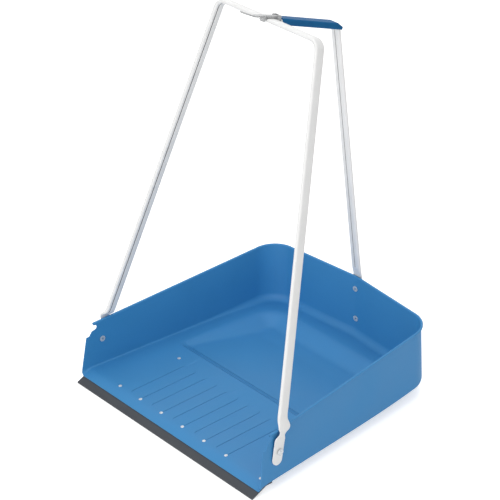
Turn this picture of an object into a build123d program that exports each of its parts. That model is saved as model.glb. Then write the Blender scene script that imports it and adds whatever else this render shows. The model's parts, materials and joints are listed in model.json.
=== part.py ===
from build123d import *
from math import atan2, cos, degrees, radians, sin, tan
import os

os.makedirs("parts", exist_ok=True)

# Pan, pressed from one sheet: depths run back from the foot of the side walls' front edges
sheet = 1.0
front_half_width = 210.0
back_half_width = 182.0
side_depth = 387.0
back_peak = 15.5
corner_radius = 44.0
ridge_radius = 60.0
wall_lean = radians(3.0)
foot_radius = 4.0
rim_front_height = 79.0
rim_rise = radians(4.16)
hem_radius = 1.9
hem_lap = 0.6
hem_splay = 0.2
hem_front_depth = 22.0
front_overrun = 60.0
rim_overrun = 30.0

# Front edge of a side wall, as depth and drop below the rim's front height
wall_nose = (8.5, 19.5)
wall_step = (14.0, 19.0)
wall_shoulder = (19.0, 11.0)
wall_bite_low = (25.5, 9.5)
wall_bite_mid = (28.0, 5.5)
wall_bite_high = (24.0, 1.0)

# Lip bent down in front of the ramp, and what is riveted under it
lip_slope = radians(24.0)
lip_bend_depth = 14.0
lip_length = 16.2
lip_end_gap = 5.0
lip_joint = 3.0
rubber_thickness = 2.5
rubber_overhang = 14.0
rubber_end_overhang = 1.0
strip_thickness = 1.2
strip_setback = 6.0
strip_end_gap = 2.0
clamp_rear_depth = 27.0
lip_rivet_depth = 20.0
lip_rivet_pitch = 50.0
lip_rivet_count = 6
lip_rivet_first_inset = 69.0
lip_rivet_last_inset = 15.0

# Dish behind the ramp, and the pressed beads of the ramp
crease_depth = 163.0
crease_end_gap = 30.2
crease_step = 3.5
dish_rear_gap = 30.0
dish_rear_end_gap = 34.2
dish_slope = radians(30.0)
dish_corner_radius = 4.0
dish_level_length = 61.0
bead_count = 5
bead_pitch = 50.0
bead_width = 25.0
bead_height = 0.9
bead_front_depth = 26.0
bead_rear_depth = 138.0
bead_draft = 45.0

# Bar riveted under the ramp
bar_end_gap = 48.0
bar_width = 20.0
bar_thickness = 3.0
bar_depth = 138.0
bar_rivet_inset = 17.0

# Solid rivets
rivet_shank_radius = 2.0
rivet_head_radius = 3.6
rivet_head_height = 1.5
rivet_head_round = 1.3
rivet_tail_radius = 3.0
rivet_tail_height = 1.0
rivet_clearance = 0.1

# Flat-oval tube with an open seam, shared by bail and handle
tube_width = 17.5
tube_depth = 6.0
tube_wall = 1.0
seam_width = 1.2
flat_width = 18.5

# Bail
pivot_depth = 38.2
pivot_height = 47.8
pivot_gap = 3.4
pivot_side_play = 0.3
bail_lean = radians(16.7)
bail_reach = 583.3
crossbar_half_length = 104.0
bail_bend_radius = 15.0
bail_tail = 25.0
bail_flare_end = 55.0
bail_flare_length = 14.0
spacer_radius = 6.5

# Tubular rivets
hollow_shank_radius = 3.0
hollow_bore_radius = 1.9
hollow_head_radius = 5.2
hollow_head_height = 1.2
hollow_flange_radius = 4.8
hollow_flange_height = 1.0
running_clearance = 0.05

# Handle: its upper rivet lies below the rim, its bend behind and below the crossbar
handle_lower_rivet = 29.2
handle_upper_drop = 21.9
pad_tail = 13.0
pad_tail_round = 7.0
pad_head = 8.0
pad_joggle_height = 8.0
hem_clearance = 0.4
ridge_clearance = 0.3
handle_flare_length = 17.3
handle_start_set_in = 3.8
handle_bend_behind = 132.0
handle_bend_below = 45.0
handle_bend_radius = 18.0

# Hand grip, along the bar from the bend and across it
grip_rear = 7.0
grip_front_gap = 1.0
grip_half_width = 10.5
grip_half_depth = 5.0
grip_heel = 12.0
grip_nose = 13.0
grip_round = 2.8
grip_clearance = 0.15

# Latch, forward along the crossbar's way out and square to it
fork_half_width = 6.2
fork_cheek = 2.2
fork_low = -4.2
fork_high = 8.4
fork_back = 1.6
fork_end_gap = 0.3
fork_stop_gap = 0.6
plug_length = 14.0
plug_clearance = 0.1
bracket_rivet_radius = 1.1
bracket_rivet_inset = 0.4
hub_radius = 2.6
hub_gap = 0.4
hub_bar_gap = 0.6
hub_height = 4.6
hook_side_play = 0.3
hook_lift = 0.9
hook_bar_depth = 3.2
hook_mouth = 10.8
hook_claw = 3.0
hook_claw_tip = -2.2
hook_claw_slant = 1.6
tongue_root = 20.0
tongue_dip = 34.0
tongue_dip_fall = 1.0
tongue_tip = 58.8
tongue_tip_rise = 4.2
tongue_depth = 2.0
pin_radius = 1.6
pin_head_radius = 2.6
pin_head_height = 0.9

# Lie of the pan over the ground, which the rubber's lower edge and the dish touch
lip_reach = lip_length + rubber_overhang
floor_top = lip_reach * sin(lip_slope) + (sheet + rubber_thickness) * cos(lip_slope)
foot = floor_top - sheet
side_angle = atan2(front_half_width - back_half_width, side_depth)
back_angle = atan2(back_peak, back_half_width)
ridge_trim = ridge_radius * (1 / cos(back_angle) - 1)
rim_base = floor_top + rim_front_height
hem_offset = hem_radius - hem_lap
pad_thickness = 2 * tube_wall
lip_half_width = front_half_width - lip_end_gap


def side_half(depth, height):
    """Outside half width of the pan at a depth and a height over the ground."""
    lean = (height - foot) * tan(wall_lean) / cos(side_angle)
    return front_half_width - depth * tan(side_angle) - lean


def back_depth(half, height):
    """Outside depth of the back wall at a half width and a height over the ground."""
    lean = (height - foot) * tan(wall_lean) / cos(back_angle)
    return side_depth + back_peak * (1 - half / back_half_width) - lean


def ridge_depth(height):
    """Outside depth of the back wall's rounded ridge at a height over the ground."""
    return side_depth + back_peak - ridge_trim - (height - foot) * tan(wall_lean)


def rim_height(depth):
    """Height of the rim over the ground at a depth."""
    return rim_base + depth * tan(rim_rise)


# The frame's origin lies on the ground, midway between the rubber's edge and the rearmost rivet head
lower_rivet_height = floor_top + handle_lower_rivet
upper_rivet_height = rim_height(side_depth + back_peak) - handle_upper_drop
front_reach = lip_reach * cos(lip_slope) - lip_bend_depth - sheet * sin(lip_slope)
rear_offset = (pad_thickness + hollow_head_height) * cos(wall_lean) + hollow_head_radius * sin(wall_lean)
rear_reach = ridge_depth(lower_rivet_height) + rear_offset
front_y = (front_reach - rear_reach) / 2

side_plane = Plane((0, front_y, 0), x_dir=(0, 1, 0), z_dir=(1, 0, 0))
rim_plane = Plane((0, front_y, rim_base), x_dir=(1, 0, 0), z_dir=(0, -sin(rim_rise), cos(rim_rise)))


def plan_plane(height):
    """Level plane at a height, with its origin at the foot of the walls' front edges."""
    return Plane((0, front_y, height))


def lip_point(below, reach):
    """Point of the lip's section, square to its slope."""
    depth = lip_bend_depth - reach * cos(lip_slope) + below * sin(lip_slope)
    return (depth, floor_top - reach * sin(lip_slope) - below * cos(lip_slope))


def lip_bend(below):
    """Point on the mitre of the lip's bend."""
    return (lip_bend_depth + below * tan(lip_slope / 2), floor_top - below)


def lip_layer(upper, lower, rear, reach):
    """Section of one layer of the lip, between two distances below the ramp's top face."""
    return [
        (rear, floor_top - upper),
        lip_bend(upper),
        lip_point(upper, reach),
        lip_point(lower, reach),
        lip_bend(lower),
        (rear, floor_top - lower),
    ]


def wall_form(inset):
    """Closed volume within the walls, its faces moved in by an inset from the outside."""
    floor = foot + inset
    run = -front_overrun
    half = side_half(run, foot)
    with BuildPart() as form:
        with BuildSketch(plan_plane(floor)):
            with BuildLine():
                FilletPolyline(
                    (half, run),
                    (back_half_width, side_depth),
                    (0, side_depth + back_peak),
                    (-back_half_width, side_depth),
                    (-half, run),
                    radius=(0, corner_radius, ridge_radius, corner_radius, 0),
                    close=True,
                )
            make_face()
            if inset:
                offset(amount=-inset, mode=Mode.REPLACE)
        extrude(amount=rim_height(side_depth) + rim_overrun - floor, taper=degrees(wall_lean))
        foot_edges = form.faces().sort_by(Axis.Z)[0].edges().sort_by(Axis.Y)[1:]
        fillet(foot_edges, foot_radius - inset)
    return form.part


dish_rear_depth = side_depth - dish_rear_gap
dish_level_depth = dish_rear_depth - dish_level_length
crease_half_width = side_half(crease_depth, foot) - crease_end_gap
dish_rear_half_width = side_half(dish_rear_depth, foot) - dish_rear_end_gap


def dish_outline(fall):
    """Corners of the dish's outline at a fall below the floor."""
    run = fall / tan(dish_slope)
    narrowing = (crease_half_width - dish_rear_half_width) / (dish_rear_depth - crease_depth)
    shift = run / cos(atan2(narrowing, 1))
    near = crease_half_width - run * narrowing - shift
    far = dish_rear_half_width + run * narrowing - shift
    return [
        (near, crease_depth + run),
        (far, dish_rear_depth - run),
        (-far, dish_rear_depth - run),
        (-near, crease_depth + run),
    ]


def dish_form(lift):
    """Volume of the dish below the floor, raised by a lift."""
    with BuildPart() as form:
        for fall in (0, foot):
            with BuildSketch(plan_plane(foot - fall + lift)):
                corner = dish_corner_radius + (foot - fall) / tan(dish_slope)
                with BuildLine():
                    FilletPolyline(*dish_outline(fall), radius=(0, corner, corner, 0), close=True)
                make_face()
        loft(ruled=True)
        with BuildSketch(side_plane):
            with BuildLine():
                Polyline(
                    (crease_depth, lift - sheet),
                    (crease_depth, foot - crease_step + lift),
                    (dish_level_depth, lift),
                    (dish_level_depth, lift - sheet),
                    close=True,
                )
            make_face()
        extrude(amount=crease_half_width, both=True, mode=Mode.SUBTRACT)
    return form.part


pan_outside = wall_form(0)
pan_inside = wall_form(sheet)
dish_outside = dish_form(0)
dish_inside = dish_form(sheet)

bead_places = GridLocations(bead_pitch, 0, bead_count, 1).locations
bead_length = bead_rear_depth - bead_front_depth
bead_middle = (bead_front_depth + bead_rear_depth) / 2
bead_shift = 2 * bead_height * tan(radians(bead_draft))
lip_rivet_first = lip_rivet_first_inset - lip_half_width
lip_rivet_last = lip_half_width - lip_rivet_last_inset
lip_rivet_xs = [lip_rivet_first + lip_rivet_pitch * step for step in range(lip_rivet_count)]
lip_rivet_places = [(x, lip_rivet_depth) for x in lip_rivet_xs + [lip_rivet_last]]
bar_half_length = side_half(bar_depth, foot) - bar_end_gap
bar_rivet_half_spacing = bar_half_length - bar_rivet_inset
bar_rivet_places = [(-bar_rivet_half_spacing, bar_depth), (bar_rivet_half_spacing, bar_depth)]
pivot_z = floor_top + pivot_height
wall_at_pivot = side_half(pivot_depth, pivot_z)
handle_rivet_planes = [
    Plane((0, front_y + ridge_depth(z), z), x_dir=(1, 0, 0), z_dir=(0, cos(wall_lean), sin(wall_lean)))
    for z in (lower_rivet_height, upper_rivet_height)
]


def rim_side(depth):
    """Half width of the hem's middle line at a depth."""
    return side_half(depth, rim_height(depth)) + hem_offset / cos(side_angle)


def rim_back(half, depth):
    """Depth of the hem's middle line at a half width, from a nearby depth."""
    return back_depth(half, rim_height(depth)) + hem_offset / cos(back_angle)


rim_corner_depth = side_depth
for _ in range(8):
    rim_corner_half = rim_side(rim_corner_depth)
    rim_corner_depth = rim_back(rim_corner_half, rim_corner_depth)
rim_peak_depth = rim_corner_depth
for _ in range(8):
    rim_peak_depth = rim_back(0, rim_peak_depth)
rim_lean = (rim_height(side_depth) - foot) * tan(wall_lean) - hem_offset
slant = 1 / cos(rim_rise)

with BuildLine(rim_plane) as rim_line:
    FilletPolyline(
        (-rim_side(hem_front_depth), hem_front_depth * slant),
        (-rim_corner_half, rim_corner_depth * slant),
        (0, (rim_peak_depth + hem_splay) * slant),
        (rim_corner_half, rim_corner_depth * slant),
        (rim_side(hem_front_depth), hem_front_depth * slant),
        radius=(corner_radius - rim_lean, ridge_radius - rim_lean, corner_radius - rim_lean),
    )
rim_path = rim_line.line

with BuildPart() as pan:
    add(pan_outside)
    add(dish_outside)
    add(pan_inside, mode=Mode.SUBTRACT)
    add(dish_inside, mode=Mode.SUBTRACT)
    split(bisect_by=rim_plane.offset(-hem_lap), keep=Keep.BOTTOM)
    # Front edges of the side walls
    with BuildSketch(side_plane):
        with BuildLine():
            far = -2 * front_overrun
            edge = [(y, rim_base - fall) for y, fall in (wall_nose, wall_step, wall_shoulder, wall_bite_low)]
            bite = [(y, rim_base - fall) for y, fall in (wall_bite_low, wall_bite_mid, wall_bite_high)]
            above = rim_height(side_depth)
            Polyline((far, 0), (0, 0), (0, foot), *edge)
            ThreePointArc(*bite)
            Polyline(bite[-1], (bite[-1][0], above), (far, above), (far, 0))
        make_face()
    extrude(amount=2 * front_half_width, both=True, mode=Mode.SUBTRACT)
    # Floor cut back between the walls for the lip
    with BuildSketch(plan_plane(0)):
        with BuildLine():
            inner = side_half(lip_bend_depth, floor_top + foot_radius) - sheet
            Polyline(
                (inner, -front_overrun),
                (inner, lip_bend_depth + lip_joint),
                (-inner, lip_bend_depth + lip_joint),
                (-inner, -front_overrun),
                close=True,
            )
        make_face()
    extrude(amount=floor_top + foot_radius, mode=Mode.SUBTRACT)
    # Lip
    with BuildSketch(side_plane):
        with BuildLine():
            Polyline(*lip_layer(0, sheet, lip_bend_depth + 2 * lip_joint, lip_length), close=True)
        make_face()
    extrude(amount=lip_half_width, both=True)
    # Beads, hollow from below
    with BuildSketch(plan_plane(floor_top)):
        with Locations(*[(place.position.X, bead_middle) for place in bead_places]):
            SlotOverall(bead_length, bead_width, rotation=90)
    extrude(amount=bead_height, taper=bead_draft)
    with BuildSketch(plan_plane(foot)):
        with Locations(*[(place.position.X, bead_middle) for place in bead_places]):
            SlotOverall(bead_length - bead_shift, bead_width - bead_shift, rotation=90)
    extrude(amount=bead_height, taper=bead_draft, mode=Mode.SUBTRACT)
    # Rolled hem
    with BuildSketch(Plane(rim_path @ 0, z_dir=rim_path % 0)):
        Circle(hem_radius)
        Circle(hem_radius - sheet, mode=Mode.SUBTRACT)
    sweep(path=rim_path)
    # Rivet holes
    with BuildSketch(plan_plane(foot)):
        with Locations(*lip_rivet_places, *bar_rivet_places):
            Circle(rivet_shank_radius + rivet_clearance)
    extrude(amount=sheet + bead_height, mode=Mode.SUBTRACT)
    with BuildSketch(side_plane):
        with Locations((pivot_depth, pivot_z)):
            Circle(hollow_shank_radius + running_clearance)
    extrude(amount=front_half_width, both=True, mode=Mode.SUBTRACT)
    with BuildSketch(*handle_rivet_planes):
        Circle(hollow_shank_radius + running_clearance)
    extrude(amount=2 * sheet, both=True, mode=Mode.SUBTRACT)
pan.part.label = "pan"
export_step(pan.part, "parts/pan.step")

# Rubber blade and clamp strip, layer under layer along the lip
with BuildPart() as lip_rubber:
    with BuildSketch(side_plane):
        with BuildLine():
            Polyline(*lip_layer(sheet, sheet + rubber_thickness, clamp_rear_depth, lip_reach), close=True)
        make_face()
    extrude(amount=lip_half_width + rubber_end_overhang, both=True)
    with BuildSketch(plan_plane(0)):
        with Locations(*lip_rivet_places):
            Circle(rivet_shank_radius + rivet_clearance)
    extrude(amount=floor_top, mode=Mode.SUBTRACT)
lip_rubber.part.label = "lip_rubber"
export_step(lip_rubber.part, "parts/lip_rubber.step")

strip_top = sheet + rubber_thickness
strip_bottom = strip_top + strip_thickness
with BuildPart() as lip_clamp_strip:
    with BuildSketch(side_plane):
        with BuildLine():
            Polyline(
                *lip_layer(strip_top, strip_bottom, clamp_rear_depth, lip_length - strip_setback), close=True
            )
        make_face()
    extrude(amount=lip_half_width - strip_end_gap, both=True)
    with BuildSketch(plan_plane(0)):
        with Locations(*lip_rivet_places):
            Circle(rivet_shank_radius + rivet_clearance)
    extrude(amount=floor_top, mode=Mode.SUBTRACT)
lip_clamp_strip.part.label = "lip_clamp_strip"
export_step(lip_clamp_strip.part, "parts/lip_clamp_strip.step")


def solid_rivets(places, grip, seat):
    """Rivets with a round head on a seat height and a flat tail below the gripped layers."""
    with BuildPart() as rivets:
        with Locations(*[(x, front_y + y, seat) for x, y in places]):
            Cylinder(rivet_head_radius, rivet_head_height, align=(Align.CENTER, Align.CENTER, Align.MIN))
        fillet(rivets.edges().group_by(Axis.Z)[-1], rivet_head_round)
        with Locations(*[(x, front_y + y, seat) for x, y in places]):
            Cylinder(rivet_shank_radius, grip, align=(Align.CENTER, Align.CENTER, Align.MAX))
        with Locations(*[(x, front_y + y, seat - grip) for x, y in places]):
            Cylinder(rivet_tail_radius, rivet_tail_height, align=(Align.CENTER, Align.CENTER, Align.MAX))
    return rivets.part


lip_rivets = solid_rivets(lip_rivet_places, strip_bottom, floor_top)
lip_rivets.label = "lip_rivets"
export_step(lip_rivets, "parts/lip_rivets.step")

with BuildPart() as floor_stiffener:
    with BuildSketch(plan_plane(foot)):
        with Locations((0, bar_depth)):
            SlotOverall(2 * bar_half_length, bar_width)
        with Locations(*bar_rivet_places):
            Circle(rivet_shank_radius + rivet_clearance, mode=Mode.SUBTRACT)
    extrude(amount=-bar_thickness)
floor_stiffener.part.label = "floor_stiffener"
export_step(floor_stiffener.part, "parts/floor_stiffener.step")

stiffener_rivets = solid_rivets(bar_rivet_places, sheet + bar_thickness, floor_top)
stiffener_rivets.label = "stiffener_rivets"
export_step(stiffener_rivets, "parts/stiffener_rivets.step")

# Bail: its tabs hang outside the walls and turn on the pivot rivets
tab_inner = wall_at_pivot + pivot_gap
tab_middle = tab_inner + pad_thickness / 2
tab_outer = tab_inner + pad_thickness
pivot_point = (0, front_y + pivot_depth, pivot_z)
bail_plane = Plane(pivot_point, x_dir=(1, 0, 0), z_dir=(0, -cos(bail_lean), sin(bail_lean)))
crossbar_point = bail_plane.from_local_coords(Vector(0, bail_reach, 0))
latch_plane = Plane(crossbar_point, x_dir=bail_plane.z_dir, z_dir=(-1, 0, 0))
tab_plane = Plane(
    (tab_inner, front_y + pivot_depth, pivot_z),
    x_dir=(0, cos(bail_lean), -sin(bail_lean)),
    z_dir=(1, 0, 0),
)
tab_top = bail_flare_end - bail_flare_length

# Each leg's line runs to the pivot, and the flare swings out over the hem to the tab
leg_half = tab_inner - (tab_inner - crossbar_half_length) * bail_flare_end / bail_reach

with BuildLine(bail_plane) as bail_line:
    FilletPolyline(
        (-leg_half, bail_flare_end),
        (-crossbar_half_length, bail_reach),
        (crossbar_half_length, bail_reach),
        (leg_half, bail_flare_end),
        radius=bail_bend_radius,
    )
bail_path = bail_line.line

with BuildPart() as bail:
    with BuildSketch(Plane(bail_path @ 1, x_dir=bail_plane.z_dir, z_dir=bail_path % 1)):
        SlotOverall(tube_width, tube_depth)
    with BuildSketch(
        Plane(
            bail_plane.from_local_coords((tab_middle, tab_top, 0)),
            x_dir=bail_plane.z_dir,
            z_dir=-bail_plane.y_dir,
        )
    ):
        SlotOverall(flat_width, pad_thickness)
    loft()
    with BuildSketch(tab_plane):
        with Locations((0, -bail_tail)):
            SlotOverall(
                tab_top + 2 * bail_tail, flat_width, rotation=90, align=(Align.MIN, Align.CENTER)
            )
        with Locations((0, tab_top)):
            Rectangle(
                flat_width, 2 * bail_tail, align=(Align.CENTER, Align.MIN), mode=Mode.SUBTRACT
            )
        Circle(hollow_shank_radius + running_clearance, mode=Mode.SUBTRACT)
    extrude(amount=pad_thickness)
    mirror(about=Plane.YZ)
    with BuildSketch(Plane(bail_path @ 0, x_dir=bail_plane.z_dir, z_dir=bail_path % 0)):
        SlotOverall(tube_width, tube_depth)
        SlotOverall(tube_width - 2 * tube_wall, tube_depth - 2 * tube_wall, mode=Mode.SUBTRACT)
        with Locations((0, tube_depth / 2)):
            Rectangle(seam_width, 3 * tube_wall, mode=Mode.SUBTRACT)
    sweep(path=bail_path)
bail.part.label = "bail"
export_step(bail.part, "parts/bail.step")

# Spacers lie flush on the sloped walls
wall_normal = (1, tan(side_angle), tan(wall_lean) / cos(side_angle))
pivot_wall = Plane((wall_at_pivot, front_y + pivot_depth, pivot_z), z_dir=wall_normal)
with BuildPart() as pivot_spacers:
    with BuildSketch(Plane((wall_at_pivot - pivot_gap, front_y + pivot_depth, pivot_z), z_dir=(1, 0, 0))):
        Circle(spacer_radius)
        Circle(hollow_shank_radius + running_clearance, mode=Mode.SUBTRACT)
    extrude(amount=2 * pivot_gap - pivot_side_play)
    split(bisect_by=pivot_wall, keep=Keep.TOP)
    mirror(about=Plane.YZ)
pivot_spacers.part.label = "pivot_spacers"
export_step(pivot_spacers.part, "parts/pivot_spacers.step")

# The pivot rivets' inner flanges stand square to the pivot line, so they bear on the wall at one side
wall_tilt = (wall_normal[1] ** 2 + wall_normal[2] ** 2) ** 0.5
flange_seat = wall_at_pivot - sheet / cos(side_angle) - hollow_flange_radius * wall_tilt
head_seat = tab_outer + pivot_side_play
with BuildPart() as pivot_rivets:
    with BuildSketch(Plane((flange_seat, front_y + pivot_depth, pivot_z), z_dir=(1, 0, 0))):
        Circle(hollow_shank_radius)
    extrude(amount=head_seat - flange_seat)
    with BuildSketch(Plane((flange_seat, front_y + pivot_depth, pivot_z), z_dir=(-1, 0, 0))):
        Circle(hollow_flange_radius)
    extrude(amount=hollow_flange_height)
    with BuildSketch(Plane((head_seat, front_y + pivot_depth, pivot_z), z_dir=(1, 0, 0))):
        Circle(hollow_head_radius)
    extrude(amount=hollow_head_height)
    with BuildSketch(Plane((flange_seat, front_y + pivot_depth, pivot_z), z_dir=(-1, 0, 0))):
        Circle(hollow_bore_radius)
    extrude(amount=hollow_flange_height, mode=Mode.SUBTRACT)
    with BuildSketch(Plane((flange_seat, front_y + pivot_depth, pivot_z), z_dir=(1, 0, 0))):
        Circle(hollow_bore_radius)
    extrude(amount=head_seat - flange_seat, mode=Mode.SUBTRACT)
    mirror(about=Plane.YZ)
pivot_rivets.part.label = "pivot_rivets"
export_step(pivot_rivets.part, "parts/pivot_rivets.step")

# Handle: a flat foot on the back wall's ridge, joggled out over the hem, then tube
pad_low = lower_rivet_height - pad_tail
pad_high = upper_rivet_height + pad_head
joggle = hem_offset + hem_radius + hem_clearance
joggle_top = pad_high + pad_joggle_height
pad_end = rim_height(ridge_depth(pad_high)) + hem_radius + hem_clearance
pad_line = [
    (ridge_depth(pad_low), pad_low),
    (ridge_depth(pad_high), pad_high),
    (ridge_depth(joggle_top) + joggle, joggle_top),
    (ridge_depth(pad_end) + joggle, pad_end),
]
handle_start = (pad_line[-1][0] + pad_thickness / 2 - handle_start_set_in, pad_end + handle_flare_length)

# The bar ends behind the crossbar, with room for the fork's back and the hook's hub
pin_set_back = tube_width / 2 + hub_bar_gap + hub_radius
fork_set_back = pin_set_back + hub_radius + hub_gap + fork_back
handle_bend = crossbar_point + Vector(0, handle_bend_behind, -handle_bend_below)
handle_end = latch_plane.from_local_coords(Vector(-fork_set_back - fork_end_gap, 0, 0))
handle_length = (handle_end - handle_bend).length
grip_plane = Plane(handle_bend, x_dir=handle_end - handle_bend, z_dir=(-1, 0, 0))

with BuildLine(side_plane) as handle_line:
    bend_place = side_plane.to_local_coords(handle_bend)
    end_place = side_plane.to_local_coords(handle_end)
    FilletPolyline(
        handle_start,
        (bend_place.X, bend_place.Y),
        (end_place.X, end_place.Y),
        radius=handle_bend_radius,
    )
handle_path = handle_line.line
bracket_rivet_place = grip_plane.from_local_coords((handle_length - plug_length / 2, 0, 0))

with BuildPart() as handle_tube:
    with BuildSketch(side_plane):
        with BuildLine():
            outer_line = [(y + pad_thickness, z) for y, z in reversed(pad_line)]
            Polyline(*pad_line, *outer_line, close=True)
        make_face()
    extrude(amount=flat_width / 2, both=True)
    fillet(handle_tube.edges().filter_by(Axis.Y).sort_by(Axis.Z)[:2], pad_tail_round)
    with BuildSketch(
        Plane((0, front_y + pad_line[-1][0] + pad_thickness / 2, pad_end), x_dir=(1, 0, 0), z_dir=(0, 0, 1))
    ):
        SlotOverall(flat_width, pad_thickness)
    with BuildSketch(Plane(handle_path @ 0, x_dir=(1, 0, 0), z_dir=handle_path % 0)):
        SlotOverall(tube_width, tube_depth)
    loft()
    with BuildSketch(Plane(handle_path @ 0, x_dir=(1, 0, 0), z_dir=handle_path % 0)):
        SlotOverall(tube_width, tube_depth)
        SlotOverall(tube_width - 2 * tube_wall, tube_depth - 2 * tube_wall, mode=Mode.SUBTRACT)
        with Locations((0, -tube_depth / 2)):
            Rectangle(seam_width, 3 * tube_wall, mode=Mode.SUBTRACT)
    sweep(path=handle_path)
    with BuildSketch(*handle_rivet_planes):
        Circle(hollow_shank_radius + running_clearance)
    extrude(amount=2 * pad_thickness, mode=Mode.SUBTRACT)
    with BuildSketch(Plane(bracket_rivet_place, z_dir=(1, 0, 0))):
        Circle(bracket_rivet_radius)
    extrude(amount=tube_width, both=True, mode=Mode.SUBTRACT)
handle_tube.part.label = "handle_tube"
export_step(handle_tube.part, "parts/handle_tube.step")

with BuildPart() as handle_rivets:
    for plane in handle_rivet_planes:
        with BuildSketch(plane.offset(-sheet - ridge_clearance)):
            Circle(hollow_shank_radius)
        extrude(amount=sheet + ridge_clearance + pad_thickness)
        with BuildSketch(plane.offset(-sheet - ridge_clearance)):
            Circle(hollow_flange_radius)
        extrude(amount=-hollow_flange_height)
        with BuildSketch(plane.offset(pad_thickness)):
            Circle(hollow_head_radius)
        extrude(amount=hollow_head_height)
        with BuildSketch(plane.offset(pad_thickness)):
            Circle(hollow_bore_radius)
        extrude(amount=-pad_thickness - sheet - ridge_clearance - hollow_flange_height, mode=Mode.SUBTRACT)
handle_rivets.part.label = "handle_rivets"
export_step(handle_rivets.part, "parts/handle_rivets.step")

# Grip: a sleeve over the bend and the bar, with a sloped heel and nose
grip_front = handle_length - grip_front_gap
with BuildPart() as hand_grip:
    with BuildSketch(grip_plane):
        with BuildLine():
            Polyline(
                (-grip_rear, -grip_half_depth),
                (grip_front - grip_nose, -grip_half_depth),
                (grip_front, 0),
                (grip_front, grip_half_depth),
                (grip_heel - grip_rear, grip_half_depth),
                (-grip_rear, 0),
                close=True,
            )
        make_face()
    extrude(amount=grip_half_width, both=True)
    fillet(hand_grip.edges().filter_by(Axis.X, reverse=True), grip_round)
    with BuildSketch(Plane(handle_path @ 0, x_dir=(1, 0, 0), z_dir=handle_path % 0)):
        SlotOverall(tube_width + 2 * grip_clearance, tube_depth + 2 * grip_clearance)
    sweep(path=handle_path, mode=Mode.SUBTRACT)
hand_grip.part.label = "hand_grip"
export_step(hand_grip.part, "parts/hand_grip.step")

# Latch: a fork in the tube's end carries a hook that drops over the crossbar
fork_rear = -fork_set_back
fork_front = -tube_width / 2 - fork_stop_gap
pin_place = (-pin_set_back, hub_height)
cheek_inner = fork_half_width - fork_cheek
plug_plane = Plane(
    grip_plane.from_local_coords((handle_length - plug_length, 0, 0)),
    x_dir=(1, 0, 0),
    z_dir=grip_plane.x_dir,
)

with BuildPart() as latch_bracket:
    with BuildSketch(latch_plane):
        with BuildLine():
            Polyline(
                (fork_rear, fork_low),
                (fork_front, fork_low),
                (fork_front, fork_high),
                (fork_rear, fork_high),
                close=True,
            )
        make_face()
    extrude(amount=fork_half_width, both=True)
    with BuildSketch(latch_plane):
        with BuildLine():
            Polyline(
                (fork_rear + fork_back, 2 * fork_low),
                (tongue_root, 2 * fork_low),
                (tongue_root, 2 * fork_high),
                (fork_rear + fork_back, 2 * fork_high),
                close=True,
            )
        make_face()
    extrude(amount=cheek_inner, both=True, mode=Mode.SUBTRACT)
    with BuildSketch(plug_plane):
        SlotOverall(
            tube_width - 2 * tube_wall - 2 * plug_clearance, tube_depth - 2 * tube_wall - 2 * plug_clearance
        )
    extrude(amount=plug_length + fork_back)
    with BuildSketch(latch_plane):
        with Locations(pin_place):
            Circle(pin_radius + running_clearance)
    extrude(amount=fork_half_width, both=True, mode=Mode.SUBTRACT)
    with BuildSketch(Plane(bracket_rivet_place, z_dir=(1, 0, 0))):
        Circle(bracket_rivet_radius)
    extrude(amount=tube_width, both=True, mode=Mode.SUBTRACT)
latch_bracket.part.label = "latch_bracket"
export_step(latch_bracket.part, "parts/latch_bracket.step")

with BuildPart() as bracket_rivet:
    with BuildSketch(Plane(bracket_rivet_place, z_dir=(1, 0, 0))):
        Circle(bracket_rivet_radius)
    extrude(amount=tube_width / 2 - bracket_rivet_inset, both=True)
bracket_rivet.part.label = "bracket_rivet"
export_step(bracket_rivet.part, "parts/bracket_rivet.step")

hook_under = tube_depth / 2 + hook_lift
hook_over = hook_under + hook_bar_depth
with BuildPart() as latch_lever:
    with BuildSketch(latch_plane):
        with BuildLine():
            Polyline(
                (pin_place[0], hook_under),
                (hook_mouth, hook_under),
                (hook_mouth + hook_claw_slant, hook_claw_tip),
                (hook_mouth + hook_claw_slant + hook_claw, hook_claw_tip),
                (hook_mouth + 2 * hook_claw, hook_over - tongue_depth),
                (tongue_root, hook_over - tongue_depth),
                (tongue_dip, hook_over - tongue_depth - tongue_dip_fall),
                (tongue_tip, hook_over - tongue_depth + tongue_tip_rise),
                (tongue_tip, hook_over + tongue_tip_rise),
                (tongue_dip, hook_over - tongue_dip_fall),
                (tongue_root, hook_over),
                (pin_place[0], hook_over),
                close=True,
            )
        make_face()
        with Locations(pin_place):
            Circle(hub_radius)
            Circle(pin_radius + running_clearance, mode=Mode.SUBTRACT)
    extrude(amount=cheek_inner - hook_side_play, both=True)
latch_lever.part.label = "latch_lever"
export_step(latch_lever.part, "parts/latch_lever.step")

with BuildPart() as latch_pin:
    with BuildSketch(latch_plane):
        with Locations(pin_place):
            Circle(pin_radius)
    extrude(amount=fork_half_width, both=True)
    for side in (1, -1):
        with BuildSketch(latch_plane.offset(side * fork_half_width)):
            with Locations(pin_place):
                Circle(pin_head_radius)
        extrude(amount=side * pin_head_height)
latch_pin.part.label = "latch_pin"
export_step(latch_pin.part, "parts/latch_pin.step")
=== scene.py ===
import json
import math

import bmesh
import bpy
from mathutils import Matrix, Vector


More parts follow.
